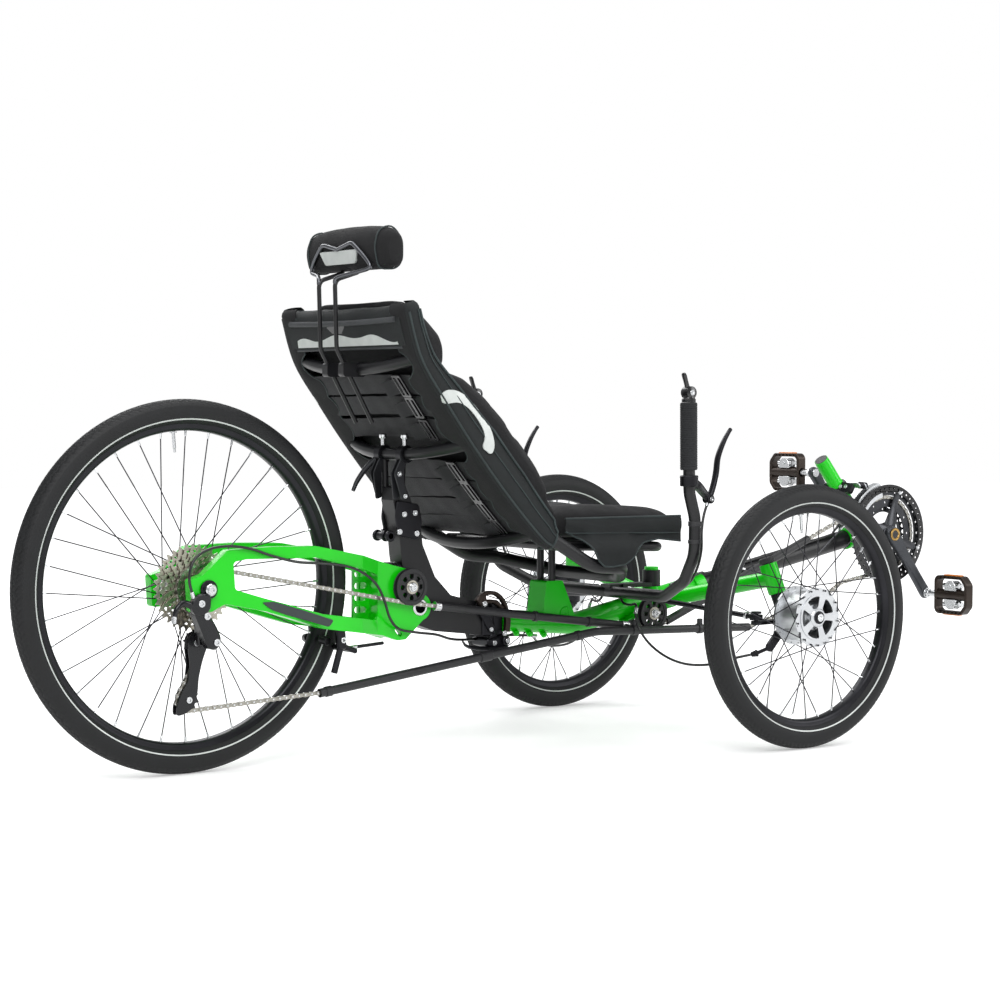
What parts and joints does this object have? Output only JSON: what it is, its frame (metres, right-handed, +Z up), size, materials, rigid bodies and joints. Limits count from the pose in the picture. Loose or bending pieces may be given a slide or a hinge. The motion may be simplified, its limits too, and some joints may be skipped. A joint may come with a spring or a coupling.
{
  "type": "recumbent tricycle",
  "caption": "Recumbent tadpole tricycle with a reclined sling seat, under-seat steering, chain drive to one rear wheel and a folding frame.",
  "frame": {"origin": "centre of the overall box on the ground", "axes": "+Z up, the rider faces -Y, the chain side is -X"},
  "size_m": [0.844, 2.1131, 0.9696],
  "materials": {
    "fabric": "black mesh fabric",
    "cable": "cable housing",
    "black_frame": "satin black powder coat",
    "cassette": "nickel-plated steel",
    "chain": "nickel-plated steel",
    "painted_frame": "bright green powder coat, gloss",
    "black_alloy": "dark anodised aluminium",
    "black_plastic": "moulded",
    "grip": "foam",
    "hub": "polished aluminium",
    "rim": "black anodised",
    "spokes": "black stainless wire",
    "tyre": "matte rubber",
    "steel": "bright steel"
  },
  "bodies": {
    "frame": {"back_cushion": "fabric", "base_cushion": "fabric", "boom": "black_frame", "boom_cable": "cable", "chain": "chain", "crank_housing": "painted_frame", "fold_hinge": "black_frame", "front_bracket": "black_frame", "front_mech": "black_alloy", "front_tube": "black_plastic", "headrest_pad": "fabric", "headrest_rods": "black_frame", "left_brake_cable": "cable", "main_frame": "painted_frame", "park_brake": "black_alloy", "power_tube": "black_plastic", "rear_axle": "steel", "rear_carrier": "black_frame", "rear_mech": "black_alloy", "rear_shift_cable": "cable", "return_tube": "black_plastic", "right_brake_cable": "cable", "seat_base_frame": "black_frame", "seat_frame": "black_frame", "seat_sling": "fabric", "swing_axle": "black_frame", "swingarm": "painted_frame"},
    "steering": {"bar_cable_left": "cable", "bar_cable_right": "cable", "handlebar": "black_frame", "left_brake_lever": "black_alloy", "left_grip": "grip", "left_shifter": "black_plastic", "right_brake_lever": "black_alloy", "right_grip": "grip", "right_shifter": "black_plastic"},
    "left_knuckle_body": {"left_knuckle": "black_alloy"},
    "right_knuckle_body": {"right_knuckle": "black_alloy"},
    "left_rod": {"left_tie_rod": "black_alloy"},
    "right_rod": {"right_tie_rod": "black_alloy"},
    "left_wheel": {"left_hub": "hub", "left_rim": "rim", "left_spokes": "spokes", "left_tyre": "tyre"},
    "right_wheel": {"right_hub": "hub", "right_rim": "rim", "right_spokes": "spokes", "right_tyre": "tyre"},
    "rear_wheel": {"cassette": "cassette", "rear_hub": "hub", "rear_rim": "rim", "rear_spokes": "spokes", "rear_tyre": "tyre"},
    "cranks": {"crankset": "black_alloy", "left_crank": "black_alloy"},
    "left_pedal_body": {"left_pedal": "black_alloy"},
    "right_pedal_body": {"right_pedal": "black_alloy"},
    "front_idler_wheel": {"front_idler": "black_plastic"},
    "rear_idler_wheel": {"rear_idler": "black_plastic"}
  },
  "joints": [
    {"name": "steer", "type": "hinge", "parent": "frame", "child": "steering", "pos_m": [0, -0.32739, 0.3], "axis": [0, 0, 1], "range_deg": [-20, 20]},
    {"name": "left_kingpin", "type": "hinge", "parent": "frame", "child": "left_knuckle_body", "pos_m": [0.326, -0.38539, 0.25], "axis": [-0.2535, 0.2011, 0.9462], "range_deg": [-20, 20]},
    {"name": "left_rod_pivot", "type": "hinge", "parent": "steering", "child": "left_rod", "pos_m": [0.012, -0.24739, 0.275], "axis": [0.0295, -0.0709, 0.997], "range_deg": [-21, 21]},
    {"name": "left_wheel_spin", "type": "hinge", "parent": "left_knuckle_body", "child": "left_wheel", "pos_m": [0.386, -0.38539, 0.25], "axis": [1, 0, 0], "continuous": true},
    {"name": "right_kingpin", "type": "hinge", "parent": "frame", "child": "right_knuckle_body", "pos_m": [-0.326, -0.38539, 0.25], "axis": [0.2535, 0.2011, 0.9462], "range_deg": [-20, 20]},
    {"name": "right_rod_pivot", "type": "hinge", "parent": "steering", "child": "right_rod", "pos_m": [-0.012, -0.24739, 0.275], "axis": [-0.0295, -0.0709, 0.997], "range_deg": [-21, 21]},
    {"name": "right_wheel_spin", "type": "hinge", "parent": "right_knuckle_body", "child": "right_wheel", "pos_m": [-0.386, -0.38539, 0.25], "axis": [1, 0, 0], "continuous": true},
    {"name": "rear_wheel_spin", "type": "hinge", "parent": "frame", "child": "rear_wheel", "pos_m": [0, 0.72961, 0.3265], "axis": [1, 0, 0], "continuous": true},
    {"name": "crank_spin", "type": "hinge", "parent": "frame", "child": "cranks", "pos_m": [0, -0.94039, 0.3765], "axis": [1, 0, 0], "continuous": true},
    {"name": "left_pedal_spin", "type": "hinge", "parent": "cranks", "child": "left_pedal_body", "pos_m": [0.12, -0.83768, 0.50563], "axis": [1, 0, 0], "continuous": true},
    {"name": "right_pedal_spin", "type": "hinge", "parent": "cranks", "child": "right_pedal_body", "pos_m": [-0.12, -1.04311, 0.24737], "axis": [1, 0, 0], "continuous": true},
    {"name": "front_idler_spin", "type": "hinge", "parent": "frame", "child": "front_idler_wheel", "pos_m": [-0.04465, -0.29339, 0.236], "axis": [1, 0, 0], "continuous": true},
    {"name": "rear_idler_spin", "type": "hinge", "parent": "frame", "child": "rear_idler_wheel", "pos_m": [-0.04465, 0.28661, 0.311], "axis": [1, 0, 0], "continuous": true}
  ],
  "couplings": [
    {"joint": "left_kingpin", "follows": "steer", "ratio": 1},
    {"joint": "left_rod_pivot", "follows": "steer", "ratio": -1.012},
    {"joint": "right_kingpin", "follows": "steer", "ratio": 1},
    {"joint": "right_rod_pivot", "follows": "steer", "ratio": -1.012}
  ]
}
